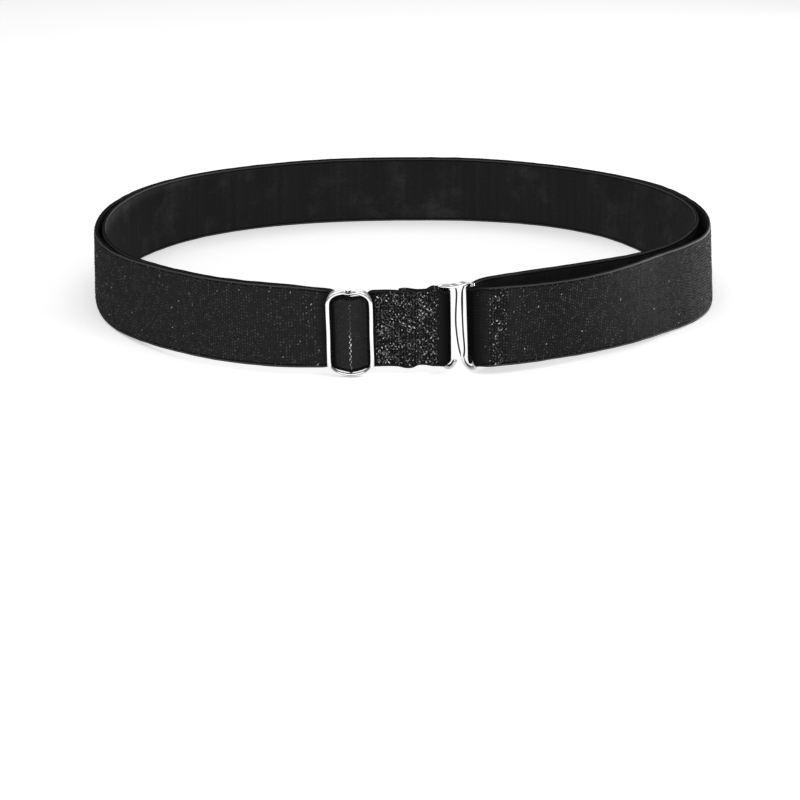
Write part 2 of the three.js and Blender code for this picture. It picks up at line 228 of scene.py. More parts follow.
def lifted(y):
    """Height of the strap's foot, which leaves the ground towards the metal in front."""
    t = min(max((lift_none_y - y) / (lift_none_y - lift_full_y), 0), 1)
    return lift_height * t * t * (3 - 2 * t)


def round_the_loop(rows, to_middle):
    """Sections of one layer; to_middle is how far the strap's middle lies outside the face drawn."""
    sections = []
    for angle, foot, lean in rows:
        c, s = math.cos(math.radians(angle)), math.sin(math.radians(angle))
        low, high = foot + to_middle, foot + to_middle + lean
        z = lifted(low * s)
        sections.append(((low * c, low * s, z), (high * c, high * s, z + strap_width)))
    return sections


def across(rows):
    """Sections at the metal, with the foot moved right by the slant and the top moved left."""
    return [((x + slant, y, foot), (x - slant, y, top)) for x, y, foot, top, slant in rows]


def bend(bar, start, stop, foot, top, pull_foot, pull_top, slant):
    """Sections round a bar (x, y, radius); both edges pull in towards the middle of the bend."""
    sections = []
    for i in range(bend_steps + 1):
        a = math.radians(start + (stop - start) * i / bend_steps)
        pull = math.sin(math.pi * i / bend_steps)
        x, y = bar[0] + bar[2] * math.cos(a), bar[1] + bar[2] * math.sin(a)
        sections.append(((x + slant, y, foot + pull_foot * pull), (x - slant, y, top - pull_top * pull)))
    return sections


def smooth_line(points, parts, closed=False):
    """Points of a centripetal curve through the given ones, parts[i] of them from point i on."""
    points = np.array(points, float)
    if closed:
        line = np.vstack([points[-1:], points, points[:2]])
    else:
        line = np.vstack([2 * points[0] - points[1], points, 2 * points[-1] - points[-2]])
    out = []
    for i, count in enumerate(parts):
        p0, p1, p2, p3 = line[i:i + 4]
        d1 = max(np.linalg.norm(p2 - p1) ** 0.5, 1e-4)
        d0, d2 = (max(np.linalg.norm(q) ** 0.5, 1e-4) for q in (p1 - p0, p3 - p2))
        t1 = ((p1 - p0) / d0 - (p2 - p0) / (d0 + d1) + (p2 - p1) / d1) * d1
        t2 = ((p2 - p1) / d1 - (p3 - p1) / (d1 + d2) + (p3 - p2) / d2) * d1
        t = np.arange(count)[:, None] / count
        out.append(p1 + t1 * t + (3 * (p2 - p1) - 2 * t1 - t2) * t**2 + (2 * (p1 - p2) + t1 + t2) * t**3)
    return np.vstack(out if closed else [*out, points[-1:]])


def lengths_along(line):
    """The length from the start of a line to each of its points."""
    return np.concatenate([[0], np.cumsum(np.linalg.norm(np.diff(line, axis=0), axis=1))])


def read_off(line, along, stops):
    """Places on a line at the stops, where along says how far along each of its points is."""
    return np.column_stack([np.interp(stops, along, line[:, i]) for i in range(line.shape[1])])


strap_sections = [
    *across(tail_behind_slider),
    *bend(bar_of_slider, 90, -90, 3.2, 27.2, 0, 0, 0.27),
    *across(out_of_slider),
    *round_the_loop(inner_layer, strap_thick / 2),
    *across(into_hook),
    *bend(bar_right, 146, 270, 3.2, 31.6, 3.4, 0.2, 0.5),
    *across(out_of_hook),
    *round_the_loop(outer_layer, -strap_thick / 2),
    *across(through_slider),
    *bend(bar_left, 270, 450, 3.1, 30.4, 1.4, 0.1, 0.25),
    *across(sewn_end),
]
before_right_bend = [*tail_behind_slider, *range(bend_steps + 1), *out_of_slider, *inner_layer, *into_hook]
fold_section = len(before_right_bend) + bend_steps // 2
feet = np.array([s[0] for s in strap_sections]) + to_centre
tops = np.array([s[1] for s in strap_sections]) + to_centre
fewest_parts, part_length = 4, 0.1
fine_parts = [
    max(fewest_parts, int(np.linalg.norm(q - p) / part_length)) for p, q in zip(feet[:-1], feet[1:])
]
foot_line, top_line = smooth_line(feet, fine_parts), smooth_line(tops, fine_parts)
middle_line = (foot_line + top_line) / 2
strap_along = lengths_along(middle_line)
strap_length = strap_along[-1]
fold_along = strap_along[sum(fine_parts[:fold_section])]


def strap_at(along):
    """Foot, top, and the level directions to the left of both, at lengths along the strap."""
    foot, top = read_off(foot_line, strap_along, along), read_off(top_line, strap_along, along)
    reach = 0.15
    lefts = []
    for line in (foot_line, top_line):
        ahead = read_off(line, strap_along, along + reach) - read_off(line, strap_along, along - reach)
        left = np.column_stack([-ahead[:, 1], ahead[:, 0], np.zeros(len(ahead))])
        lefts.append(left / np.linalg.norm(left, axis=1)[:, None])
    return foot, top, *lefts


# Rows of the mesh lie on the crests and in the troughs of the ribs on the outer layer, and as
# close together where the inner layer bends round the slider's bar.
slider_place, bend_reach = (-18.9, -123.5), 9
fine_before_fold, shortest_row = 6, 0.3
near_slider = np.linalg.norm(middle_line[:, :2] - slider_place, axis=1) < bend_reach
stops = [0.0]
while stops[-1] < strap_length - shortest_row:
    here = min(np.searchsorted(strap_along, stops[-1]), len(near_slider) - 1)
    fine = stops[-1] > fold_along - fine_before_fold or near_slider[here]
    stops.append(min(stops[-1] + rib_pitch * (0.5 if fine else 1), strap_length))
stops = np.array(stops)

# Along the front, by the place from left to right: how slack the knit is, how large its loops
# are, how much silver shows (most where it stands for painted glints), how much painted shade darkens the
# yarn, how many curls stand out, and how strong the painted highlight on the upper and lower edges is, with
# loops and silver gone where metal or a fold pulls it smooth.
front_x = [
    -60, -36, -34.5, -29.6, -29.2, -24.2, -23.6, -13.6, -13.0, -10.4, -9.9,
    11.2, 12.0, 15.0, 23.5, 24.5, 29.2, 29.8, 34.9, 36.4, 50, 80,
]
slack_at = [.3, .3, .4, .4, .1, 0, 0, 0, 0, 0, 1, 1, .3, 0, 0, .2, .3, .8, .8, .4, .4, .3]
loop_size_at = [1, 1, 1.1, 1.1, .5, 0, .6, .6, 0, 0, 1.1, 1.1, .3, 0, 0, .3, .5, 1.1, 1.1, 1, 1, 1]
silver_glint_at = [.02, .03, .14, .14, 0, 0, .01, .01, 0, 0, .68, .58, 0, 0, 0, 0, .05, .42, .42, .05, .03, .02]
painted_shade_at = [.8, .8, .8, .8, .65, .15, 1, 1, .15, .25, .25, .28, .5, .02, .02, .15, .65, .4, .4, .8, .6, .8]
curl_at = [0, 0, 0, 0, 0, 0, 0, 0, 0, 0, .32, .4, 0, 0, 0, 0, 0, .2, .2, 0, 0, 0]
edge_light_at = [1, 1, 1, 1, .8, .2, 0, 0, .2, .3, .3, .3, .3, .1, .1, .1, .5, 1, 1, 1, 1, 1]
front_ends_at_y = -95
lump_size, clump_size = 2.9, 3.4


def look_up(along, values_at, elsewhere, inside):
    """Values along the strap: from a list by x at the front of the outer layer, and one value each
    for elsewhere on that layer and for the inner layer.
    """
    foot, top, *_ = strap_at(along)
    x = (foot[:, 0] + top[:, 0]) / 2
    outer = along > fold_along
    front = outer & (foot[:, 1] < front_ends_at_y)
    return np.where(front, np.interp(x, front_x, values_at), np.where(outer, elsewhere, inside))


def slack_out(along, height, slack):
    """How far slack knit stands out of the flat strap, in soft lumps."""
    here = Vector((along / lump_size, height / lump_size, 3.7))
    return slack * max(0.0, 0.05 + 0.34 * noise.noise(here) + 0.16 * noise.noise(here * 2.3))


def in_field(h):
    """0 at the selvedges, 1 on the knit between them."""
    return np.clip((np.minimum(h, strap_width - h) - selvedge_width) / selvedge_fade, 0, 1)


# One section of the strap: set-back, height, rise of the rounded edges, and relief of the faces,
# whose outer one has a ridge and a groove beside each selvedge.
half = strap_thick / 2
low_edge, high_edge = selvedge_depth, strap_width - selvedge_depth
edge = [(low_edge, 0.0), (0.85, 0.07), (1.2, -0.1), (1.6, 0.0)]
between = [(h, 0.0) for h in np.linspace(1.6, strap_width - 1.6, 15)[1:-1]]
face_rows = edge + between + [(strap_width - h, r) for h, r in edge[::-1]]
back_rows = [(h, 0.0) for h in np.linspace(low_edge, high_edge, 10)]
turn = np.radians([45, 90, 135])
profile = (
    [(half, h, 0.0, r) for h, r in back_rows]
    + [(half * math.cos(a), high_edge, selvedge_depth * math.sin(a), None) for a in turn]
    + [(-half, h, 0.0, r) for h, r in face_rows[::-1]]
    + [(-half * math.cos(a), low_edge, -selvedge_depth * math.sin(a), None) for a in turn]
)
sides = len(profile)
foot_rows, top_rows, foot_left, top_left = strap_at(stops)
slack_elsewhere = 0.3
slack_row = look_up(stops, slack_at, slack_elsewhere, 0.0)
on_outside = stops > fold_along
over_bar = strap_along[np.argmin(middle_line[:, 1])]
groove_depth, groove_half_width = 0.42, 0.6


def ribs_and_seam(along):
    """The ribs of the outer layer, and the groove where it is stitched down over the slider's bar."""
    groove = groove_depth * np.exp(-(((along - over_bar) / groove_half_width) ** 2))
    return (rib_height * np.cos(2 * np.pi * along / rib_pitch) - groove) * (along > fold_along)


rib_row = ribs_and_seam(stops)
edge_wave_height, edge_wave_length = 0.14, 6
strap_points, strap_uv = [], []
for i, along in enumerate(stops):
    up = top_rows[i] - foot_rows[i]
    width = np.linalg.norm(up)
    up = up / width
    for side, h, rise, relief in profile:
        height = h * width / strap_width
        left = foot_left[i] + (top_left[i] - foot_left[i]) * (height / width)
        if relief is not None and side > 0:
            side += relief
        elif relief is not None:
            side -= relief + in_field(h) * (rib_row[i] + slack_out(along, height, slack_row[i]))
        off_middle = 2 * h / strap_width - 1
        wave_row = 9.1 if off_middle > 0 else 2.3
        wave = noise.noise(Vector((along / edge_wave_length, wave_row, 0)))
        wave = edge_wave_height * wave * abs(off_middle) ** 3
        p = foot_rows[i] + up * (height + rise + wave) + left * side
        strap_points.append((p[0] * mm, p[1] * mm, max(p[2], 0) * mm))
        strap_uv.append((along * mm, (h + rise) * mm))

strap_outside = np.repeat(on_outside, sides) & np.array([row[0] == -half for row in profile] * len(stops))
strap_faces = []
for r in range(len(stops) - 1):
    for k in range(sides):
        m = (k + 1) % sides
        strap_faces.append((r * sides + k, r * sides + m, (r + 1) * sides + m, (r + 1) * sides + k))
strap_faces.append(tuple(range(sides))[::-1])
strap_faces.append(tuple(range((len(stops) - 1) * sides, len(stops) * sides)))

black_knit = Finish("black_knit_elastic", Specular_IOR_Level=0.05)
band = black_knit.node("ShaderNodeUVMap", {"uv_map": "band"})
across_band = black_knit.node("ShaderNodeSeparateXYZ", {}, {"Vector": band}, output=1)
outside = black_knit.node("ShaderNodeAttribute", {"attribute_name": "outside"}, output=2)
# The square of the distance from the strap's middle marks off the selvedge, darkened with painted shade, and
# the ridge beside it, lightened with a painted highlight.
squared = (across_band - 0.015) * (across_band - 0.015)
shaded_selvedge = squared.fade(0.0134**2, 0.0137**2)
ridge_highlight = squared.fade(0.01405**2, 0.01425**2) * squared.fade(0.0148**2, 0.01465**2)
stitch_grid = black_knit.node("ShaderNodeMapping", {}, {"Vector": band, "Scale": (1000, 1150, 1)})
stitch = black_knit.node("ShaderNodeTexVoronoi", {}, {"Vector": stitch_grid, "Scale": 1.0, "Randomness": 0.5})
painted_shade = black_knit.node("ShaderNodeAttribute", {"attribute_name": "painted_shade"}, output=2)
edge_light = black_knit.node("ShaderNodeAttribute", {"attribute_name": "edge_light"}, output=2)
cloud = black_knit.node("ShaderNodeTexNoise", {}, {
    "Vector": band, "Scale": 45.0, "Detail": 5.0, "Roughness": 0.65,
})
streak_grid = black_knit.node("ShaderNodeMapping", {}, {"Vector": band, "Scale": (420, 14, 1)})
streak = black_knit.node("ShaderNodeTexNoise", {}, {"Vector": streak_grid, "Scale": 1.0, "Detail": 2.0})
grain = black_knit.node("ShaderNodeTexNoise", {}, {"Vector": band, "Scale": 900.0, "Detail": 2.0})
plain_tone = black_knit.mix(streak.fade(0.35, 0.75) * 0.6, (0.022, 0.022, 0.022, 1), (0.031, 0.031, 0.031, 1))
plain_tone = black_knit.mix(cloud.fade(0.48, 0.70) * 0.6, plain_tone, (0.062, 0.062, 0.061, 1))
plain_tone = black_knit.mix(grain.fade(0.3, 0.7) * 0.35, plain_tone, (0.013, 0.013, 0.013, 1))
knit_tone = black_knit.mix(outside, plain_tone, (0.026, 0.026, 0.026, 1))
# Painted shade: the knit is darkened beside the metal, in the folds and between its slack loops, where shade
# falls, and made lighter or darker along the front to even out the light.
knit_tone = black_knit.mix(painted_shade, (0.0012, 0.0012, 0.0012, 1), knit_tone)
# Painted shade darkens the selvedge, and a painted highlight lightens the ridge beside it as far as
# edge_light allows.
knit_tone = black_knit.mix(shaded_selvedge * 0.9, knit_tone, (0.004, 0.004, 0.004, 1))
knit_tone = black_knit.mix(ridge_highlight * edge_light, knit_tone, (0.06, 0.06, 0.06, 1))
black_knit.vary(Base_Color=knit_tone, Roughness=0.85 - 0.1 * ridge_highlight)
black_knit.relief((1 - stitch) * (0.4 + 0.6 * outside) * (1 - shaded_selvedge), 0.0001)

strap = show("elastic_strap_knit", strap_points, strap_faces, black_knit)
strap_mesh = strap.data
uv = strap_mesh.uv_layers.new(name="band")
corner_vertex = np.zeros(len(strap_mesh.loops), int)
strap_mesh.loops.foreach_get("vertex_index", corner_vertex)
uv.data.foreach_set("uv", np.array(strap_uv)[corner_vertex].ravel())
strap_numbers = {
    "outside": strap_outside.astype(float),
    "painted_shade": np.repeat(look_up(stops, painted_shade_at, 0.8, 0.8), sides),
    "edge_light": np.repeat(look_up(stops, edge_light_at, 1.0, 1.0), sides),
}
for label, values in strap_numbers.items():
    strap_mesh.attributes.new(label, "FLOAT", "POINT").data.foreach_set("value", values)
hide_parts("elastic_strap")
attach(strap, "root")

# Loops of the knit: the outer face is covered in small raised loops of black yarn, in columns
# across the strap, larger where it is slack beside the hook, and smooth where metal presses it.
loop_yarn = Finish("black_loop_yarn", Specular_IOR_Level=0.12, Roughness=0.7)
loop_tone = loop_yarn.node("ShaderNodeAttribute", {"attribute_name": "tone"}, output=2)
loop_yarn.vary(Base_Color=loop_yarn.mix(loop_tone**2.0, (0.018, 0.018, 0.0184, 1), (0.069, 0.069, 0.0697, 1)))


def node_tree(name, inputs):
    """An empty tree of geometry nodes with a mesh in, a mesh out and the named number inputs."""
    tree = bpy.data.node_groups.new(name, "GeometryNodeTree")
    tree.interface.new_socket(name="Mesh", in_out="INPUT", socket_type="NodeSocketGeometry")
    for label, kind in inputs.items():
        tree.interface.new_socket(name=label, in_out="INPUT", socket_type=kind)
    tree.interface.new_socket(name="Mesh", in_out="OUTPUT", socket_type="NodeSocketGeometry")

    def add(kind, settings=None, sockets=None, output=0):
        made = tree.nodes.new(kind)
        for key, value in (settings or {}).items():
            setattr(made, key, value)
        for key, value in (sockets or {}).items():
            if isinstance(value, bpy.types.NodeSocket):
                tree.links.new(value, made.inputs[key])
            else:
                made.inputs[key].default_value = value
        return made.outputs[output] if len(made.outputs) else None

    given = tree.nodes.new("NodeGroupInput").outputs
    return tree, add, given


def grow(name, points, tree, sizes):
    """Runs a tree on a mesh and gives back the plain mesh that comes out, as a piece."""
    carrier = bpy.data.objects.new(name + "_carrier", points)
    scene.collection.objects.link(carrier)
    growth = carrier.modifiers.new("growth", "NODES")
    growth.node_group = tree
    for item in tree.interface.items_tree:
        if item.in_out == "INPUT" and item.name in sizes:
            growth[item.identifier] = sizes[item.name]
    depsgraph = bpy.context.evaluated_depsgraph_get()
    mesh = bpy.data.meshes.new_from_object(carrier.evaluated_get(depsgraph), depsgraph=depsgraph)
    mesh.name = name
    bpy.data.objects.remove(carrier)
    piece = bpy.data.objects.new(name, mesh)
    scene.collection.objects.link(piece)
    return piece


def seeds(name, places, outward, lengthwise, **numbers):
    """A mesh of bare points that carries the directions and numbers that a tree reads."""
    mesh = bpy.data.meshes.new(name)
    mesh.vertices.add(len(places))
    mesh.vertices.foreach_set("co", (np.array(places) * mm).ravel())
    for label, vectors in (("outward", outward), ("lengthwise", lengthwise)):
        directions = mesh.attributes.new(label, "FLOAT_VECTOR", "POINT").data
        directions.foreach_set("vector", np.array(vectors).ravel())
    for label, values in numbers.items():
        mesh.attributes.new(label, "FLOAT", "POINT").data.foreach_set("value", np.array(values, float))
    return mesh


def place_on_points(add, given, shape, shape_size):
    """Ends a tree: one shape on each point, turned, moved and scaled unevenly, in the yarn's finish."""
    number, direction = {"data_type": "FLOAT"}, {"data_type": "FLOAT_VECTOR"}
    size = add("GeometryNodeInputNamedAttribute", number, {"Name": "size"})
    outward = add("GeometryNodeInputNamedAttribute", direction, {"Name": "outward"})
    lengthwise = add("GeometryNodeInputNamedAttribute", direction, {"Name": "lengthwise"})
    smallest = add("ShaderNodeMath", {"operation": "SUBTRACT"}, {0: 1.0, 1: given["Uneven"]})
    largest = add("ShaderNodeMath", {"operation": "ADD"}, {0: 1.0, 1: given["Uneven"]})
    uneven = add("FunctionNodeRandomValue", number, {2: smallest, 3: largest, "Seed": given["Seed"]}, 1)
    grown = add("ShaderNodeMath", {"operation": "MULTIPLY"}, {0: size, 1: uneven})
    scaled = add("ShaderNodeVectorMath", {"operation": "SCALE"}, {0: shape_size, "Scale": grown})
    facing = add("FunctionNodeAlignRotationToVector", {"axis": "X"}, {"Vector": lengthwise})
    facing = add("FunctionNodeAlignRotationToVector", {"axis": "Z", "pivot_axis": "X"}, {
        "Rotation": facing, "Vector": outward,
    })
    most_turn = add("ShaderNodeCombineXYZ", {}, {0: given["Tilt"], 1: given["Tilt"], 2: given["Spin"]})
    least_turn = add("ShaderNodeVectorMath", {"operation": "SCALE"}, {0: most_turn, "Scale": -1.0})
    turn_by = add("FunctionNodeRandomValue", direction, {0: least_turn, 1: most_turn, "Seed": given["Seed"]})
    turned = add("FunctionNodeRotateRotation", {"rotation_space": "LOCAL"}, {
        0: facing, 1: add("FunctionNodeEulerToRotation", {}, {0: turn_by}),
    })
    placed = add("GeometryNodeInstanceOnPoints", {}, {
        "Points": given["Mesh"], "Instance": shape, "Rotation": turned, "Scale": scaled,
    })
    most_move = add("ShaderNodeCombineXYZ", {}, {0: given["Scatter"], 1: given["Scatter"]})
    least_move = add("ShaderNodeVectorMath", {"operation": "SCALE"}, {0: most_move, "Scale": -1.0})
    move_by = add("FunctionNodeRandomValue", direction, {0: least_move, 1: most_move, "Seed": given["Seed"]})
    moved = add("GeometryNodeTranslateInstances", {}, {"Instances": placed, "Translation": move_by})
    real = add("GeometryNodeRealizeInstances", {}, {0: moved})
    coated = add("GeometryNodeSetMaterial", {}, {"Geometry": real, "Material": given["Yarn"]})
    add("NodeGroupOutput", {}, {0: coated})


placing_inputs = {
    "Tilt": "NodeSocketFloat", "Spin": "NodeSocketFloat", "Scatter": "NodeSocketFloat",
    "Uneven": "NodeSocketFloat", "Seed": "NodeSocketInt", "Yarn": "NodeSocketMaterial",
}
yarn_tree, add, given = node_tree("yarn_on_points", {
    "Length": "NodeSocketFloat", "Width": "NodeSocketFloat", "Height": "NodeSocketFloat",
    "Sides": "NodeSocketInt", "Rings": "NodeSocketInt", **placing_inputs,
})
bead = add("GeometryNodeMeshUVSphere", {}, {
    "Segments": given["Sides"], "Rings": given["Rings"], "Radius": 0.5,
})
bead_size = add("ShaderNodeCombineXYZ", {}, {0: given["Length"], 1: given["Width"], 2: given["Height"]})
place_on_points(add, given, bead, bead_size)


def on_face(along, heights, lift, side=-1):
    """Places on a face of the strap, and the directions out of it and up along it."""
    foot, top, foot_left, top_left = strap_at(along)
    share = (heights / strap_width)[:, None]
    out = side * (foot_left + (top_left - foot_left) * share)
    up = top - foot
    width = np.linalg.norm(up, axis=1)
    stand = half + lift
    if side < 0:
        slack = look_up(along, slack_at, slack_elsewhere, 0.0)
        lumps = np.array([slack_out(*row) for row in zip(along, heights / strap_width * width, slack)])
        stand = stand + in_field(heights) * (lumps + ribs_and_seam(along))
    return foot + up * share + out * np.reshape(stand, (-1, 1)), out, up / width[:, None]


def grid_on_outside(along_pitch, across_pitch, chance_at, chance_elsewhere, seed, clumps=0.0, zigzag=0.0):
    """Lengths and heights of points on the outer face, each kept by chance, and a tone for each."""
    draws = np.random.default_rng(seed)
    lowest, highest, end_margin = 1.1, 28.3, 1
    columns = np.arange(math.ceil(fold_along), strap_length - end_margin, along_pitch)
    along, heights = np.meshgrid(columns, np.arange(lowest, highest, across_pitch), indexing="ij")
    along = (along + zigzag * (-1.0) ** np.arange(along.shape[1])).ravel()
    heights = (heights + across_pitch * draws.random((len(columns), 1))).ravel()
    chance = look_up(along, chance_at, chance_elsewhere, 0.0)
    spots = zip(along / clump_size, heights / clump_size)
    lumps = np.array([noise.noise(Vector((a, h, seed))) for a, h in spots])
    keep = draws.random(len(along)) < chance * (1 + clumps * lumps)
    tone = np.clip(draws.random(len(along)) + 0.45 * lumps, 0, 1)
    return along[keep], heights[keep], tone[keep]


knit_at = np.minimum(1, np.multiply(loop_size_at, 9))
along, heights, tones = grid_on_outside(rib_pitch, 1.12, knit_at, 1.0, 5)
loop_sizes = look_up(along, loop_size_at, 1.0, 0.0)
loop_places = seeds("loop_places", *on_face(along, heights, 0.04), size=loop_sizes, tone=tones)
loops = grow("knit_loops", loop_places, yarn_tree, {
    "Length": 0.92 * mm, "Width": 0.62 * mm, "Height": 0.36 * mm, "Sides": 4, "Rings": 2, "Tilt": 0.2,
    "Spin": 0.8, "Scatter": 0.34 * mm, "Uneven": 0.32, "Seed": 3, "Yarn": loop_yarn.material,
})
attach(loops, "root")

# Silver yarn: short ends of silver film yarn show between the loops, thickly beside the hook and in a band to
# its right, and thinly elsewhere on the outer face; the thick patches are set brighter and stand for painted
# glints of the light.
silver_yarn = Finish("silver_film_yarn", Metallic=0.9)
silver_tone = silver_yarn.node("ShaderNodeAttribute", {"attribute_name": "tone"}, output=2)
silver_yarn.vary(
    Base_Color=silver_yarn.mix(silver_tone**2.6, (0.07, 0.07, 0.073, 1), (0.85, 0.85, 0.86, 1)),
    Roughness=0.5 - 0.2 * silver_tone,
)
along, heights, tones = grid_on_outside(1.2, 1.05, silver_glint_at, 0.02, 8, clumps=0.8, zigzag=0.35)
silver_sizes = np.sqrt(look_up(along, np.maximum(0.6, loop_size_at), 0.75, 0.75))
glints_thickly = look_up(along, silver_glint_at, 0.0, 0.0) > 0.3
# Painted glints: where the silver lies thickly it is bright, and it is dimmer elsewhere.
silver_tones = tones * np.where(glints_thickly, 1, 0.75)
silver_places = seeds("silver_places", *on_face(along, heights, 0.16), size=silver_sizes, tone=silver_tones)
silver = grow("silver_yarn_ends", silver_places, yarn_tree, {
    "Length": 0.85 * mm, "Width": 0.38 * mm, "Height": 0.28 * mm, "Sides": 6, "Rings": 4, "Tilt": 0.3,
    "Spin": 1.0, "Scatter": 0.25 * mm, "Uneven": 0.3, "Seed": 12, "Yarn": silver_yarn.material,
})
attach(silver, "root")

# Slack loops: where the silver shows thickly, the yarn also stands out of the knit in open curls.
curl_tree, add, given = node_tree("curl_on_points", {
    "Radius": "NodeSocketFloat", "Sweep": "NodeSocketFloat", "Yarn Radius": "NodeSocketFloat",
    "Steps": "NodeSocketInt", "Sides": "NodeSocketInt", **placing_inputs,
})
arc = add("GeometryNodeCurveArc", {"mode": "RADIUS"}, {
    "Resolution": given["Steps"], "Radius": given["Radius"], "Sweep Angle": given["Sweep"],
})
cross_section = add("GeometryNodeCurvePrimitiveCircle", {"mode": "RADIUS"}, {
    "Resolution": given["Sides"], "Radius": given["Yarn Radius"],
})
curl = add("GeometryNodeCurveToMesh", {}, {"Curve": arc, "Profile Curve": cross_section, "Fill Caps": True})
place_on_points(add, given, curl, (1.0, 1.0, 1.0))
along, heights, tones = grid_on_outside(1.5, 1.35, curl_at, 0.0, 21, clumps=0.9, zigzag=0.2)
curl_numbers = {"size": np.ones(len(along)), "tone": 0.1 + 0.55 * tones}
curl_places = seeds("curl_places", *on_face(along, heights, 0.1), **curl_numbers)
curls = grow("slack_yarn_curls", curl_places, curl_tree, {
    "Radius": 0.62 * mm, "Sweep": 3.7, "Yarn Radius": 0.15 * mm, "Steps": 8, "Sides": 5, "Tilt": 0.4,
    "Spin": 3.1, "Scatter": 0.3 * mm, "Uneven": 0.35, "Seed": 17, "Yarn": silver_yarn.material,
})
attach(curls, "root")

# Stitching: grey thread holds the strap down over the slider's bar, and two rows of black thread
# hold each of its folded ends, near the cut end and behind.
thread = Finish("stitching_thread", Specular_IOR_Level=0.3, Roughness=0.45)
thread_tone = thread.node("ShaderNodeAttribute", {"attribute_name": "tone"}, output=2)
thread.vary(Base_Color=thread.mix(thread_tone, (0.012, 0.012, 0.0124, 1), (0.85, 0.85, 0.855, 1)))


def sew(name, rows, seed, **sizes):
    """Stitches in rows of length along the strap, heights, tones, lift and side, as one piece."""
    placed = [on_face(np.array(along, float), heights, lift, side) for along, heights, _, lift, side in rows]
    places, outs, ups = (np.vstack([row[i] for row in placed]) for i in range(3))
    tones = np.concatenate([row[2] for row in rows])
    piece = grow(
        name, seeds(name + "_places", places, outs, ups, size=np.ones(len(tones)), tone=tones), yarn_tree,
        {**sizes, "Sides": 8, "Rings": 6, "Tilt": 0.06, "Seed": seed, "Yarn": thread.material},
    )
    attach(piece, "root")
    return piece


# The zigzag over the bar is light grey up to half the strap's height and dark above.
zigzag_heights = np.arange(2.0, 27.6, 1.12)
swing = 0.16 * (-1.0) ** np.arange(len(zigzag_heights))
bar_tones = np.where(zigzag_heights < 14.5, 0.5, 0.13) * (1 + 0.7 * np.sin(zigzag_heights * 5.3))
bar_stitches = sew(
    "bar_stitches", [(over_bar + swing, zigzag_heights, bar_tones, 0.2, -1)], 6,
    Length=1.1 * mm, Width=0.42 * mm, Height=0.36 * mm, Spin=0.8, Scatter=0.1 * mm, Uneven=0.25,
)
stitch_heights = np.arange(2.4, 28, 2.1)
row_length, black_tones = np.ones(len(stitch_heights)), np.zeros(len(stitch_heights))
end_rows = []
for from_end in (1.6, 3.4):
    end_rows.append((row_length * (strap_length - from_end), stitch_heights, black_tones, 0.16, -1))
    end_rows.append((row_length * from_end, stitch_heights, black_tones, 0.06, 1))
end_stitches = sew(
    "end_stitches", end_rows, 7,
    Length=1.7 * mm, Width=0.5 * mm, Height=0.42 * mm, Spin=0.25, Scatter=0.06 * mm, Uneven=0.15,
)

# Slider: a ring of polished nickel-plated steel wire, closed at the top by two pressed shoulders
# that are soldered on, with a thinner centre bar set back behind the ring for the strap's tail.
slider_x, slider_y, slider_slant, slider_middle_z = -18.6, -123.3, 0.021, 15.625
slider_wire, slider_bar_wire, back, foot_forward = 0.8, 0.65, 1.9, 1.1
half_width, ring_bottom, ring_top, notch, notch_x = 7.45, 0.8, 30.25, 0.4, -0.4


def upright(rows, y, slant=0.0, centre=0.0):
    """Points drawn on an upright plane from x, height and an optional set-back."""
    points = []
    for x, z, *set_back in rows:
        points.append(np.array([x - slant * (z - centre), y + sum(set_back), z]) + to_centre)
    return points


def elliptic_arc(cx, cz, rx, rz, start, stop, steps=5):
    """Points of an ellipse's arc, from its middle, its two radii and two angles in degrees."""
    angles = np.radians(np.linspace(start, stop, steps + 1))
    return [(cx + rx * math.cos(a), cz + rz * math.sin(a)) for a in angles]


def wire(points, radius, closed=False, end_radius=None, thin_from=1.0, step=0.3, sides=20):
    """Corners and faces of a round wire along a smooth line, with domed ends where it is open."""
    parts_each, thin_share = 40, 0.1
    line = smooth_line(points, [parts_each] * (len(points) if closed else len(points) - 1), closed)
    if closed:
        line = np.vstack([line, line[:1]])
    along = lengths_along(line)
    count = int(along[-1] / step)
    stops = np.linspace(0, along[-1], count + 1)
    centres = read_off(line, along, stops)
    thinning = np.clip((stops / along[-1] - thin_from) / thin_share + 0.5, 0, 1)
    radii = radius + ((end_radius or radius) - radius) * thinning
    ahead = np.gradient(centres, axis=0)
    if closed:
        ahead[0] = ahead[-1] = centres[1] - centres[-2]
    ahead /= np.linalg.norm(ahead, axis=1)[:, None]
    if not closed:
        dome = np.radians([80, 55, 30])
        first = [centres[0] - ahead[0] * radii[0] * math.sin(a) for a in dome]
        last = [centres[-1] + ahead[-1] * radii[-1] * math.sin(a) for a in dome[::-1]]
        centres = np.vstack([first, centres, last])
        radii = np.concatenate([radii[0] * np.cos(dome), radii, radii[-1] * np.cos(dome[::-1])])
        ahead = np.vstack([[ahead[0]] * 3, ahead, [ahead[-1]] * 3])
    else:
        centres, radii, ahead = centres[:-1], radii[:-1], ahead[:-1]
    side = np.cross(ahead[0], (0, 1, 0.01))
    vertices = []
    for centre, r, way in zip(centres, radii, ahead):
        side = side - way * side.dot(way)
        side /= np.linalg.norm(side)
        other = np.cross(way, side)
        for k in range(sides):
            a = 2 * math.pi * k / sides
            vertices.append((centre + (side * math.cos(a) + other * math.sin(a)) * r) * mm)
    rings = len(centres)
    faces = []
    for r in range(rings if closed else rings - 1):
        s = (r + 1) % rings
        for k in range(sides):
            m = (k + 1) % sides
            faces.append((r * sides + k, r * sides + m, s * sides + m, s * sides + k))
    if not closed:
        faces.append(tuple(range(sides))[::-1])
        faces.append(tuple(range((rings - 1) * sides, rings * sides)))
    return vertices, faces


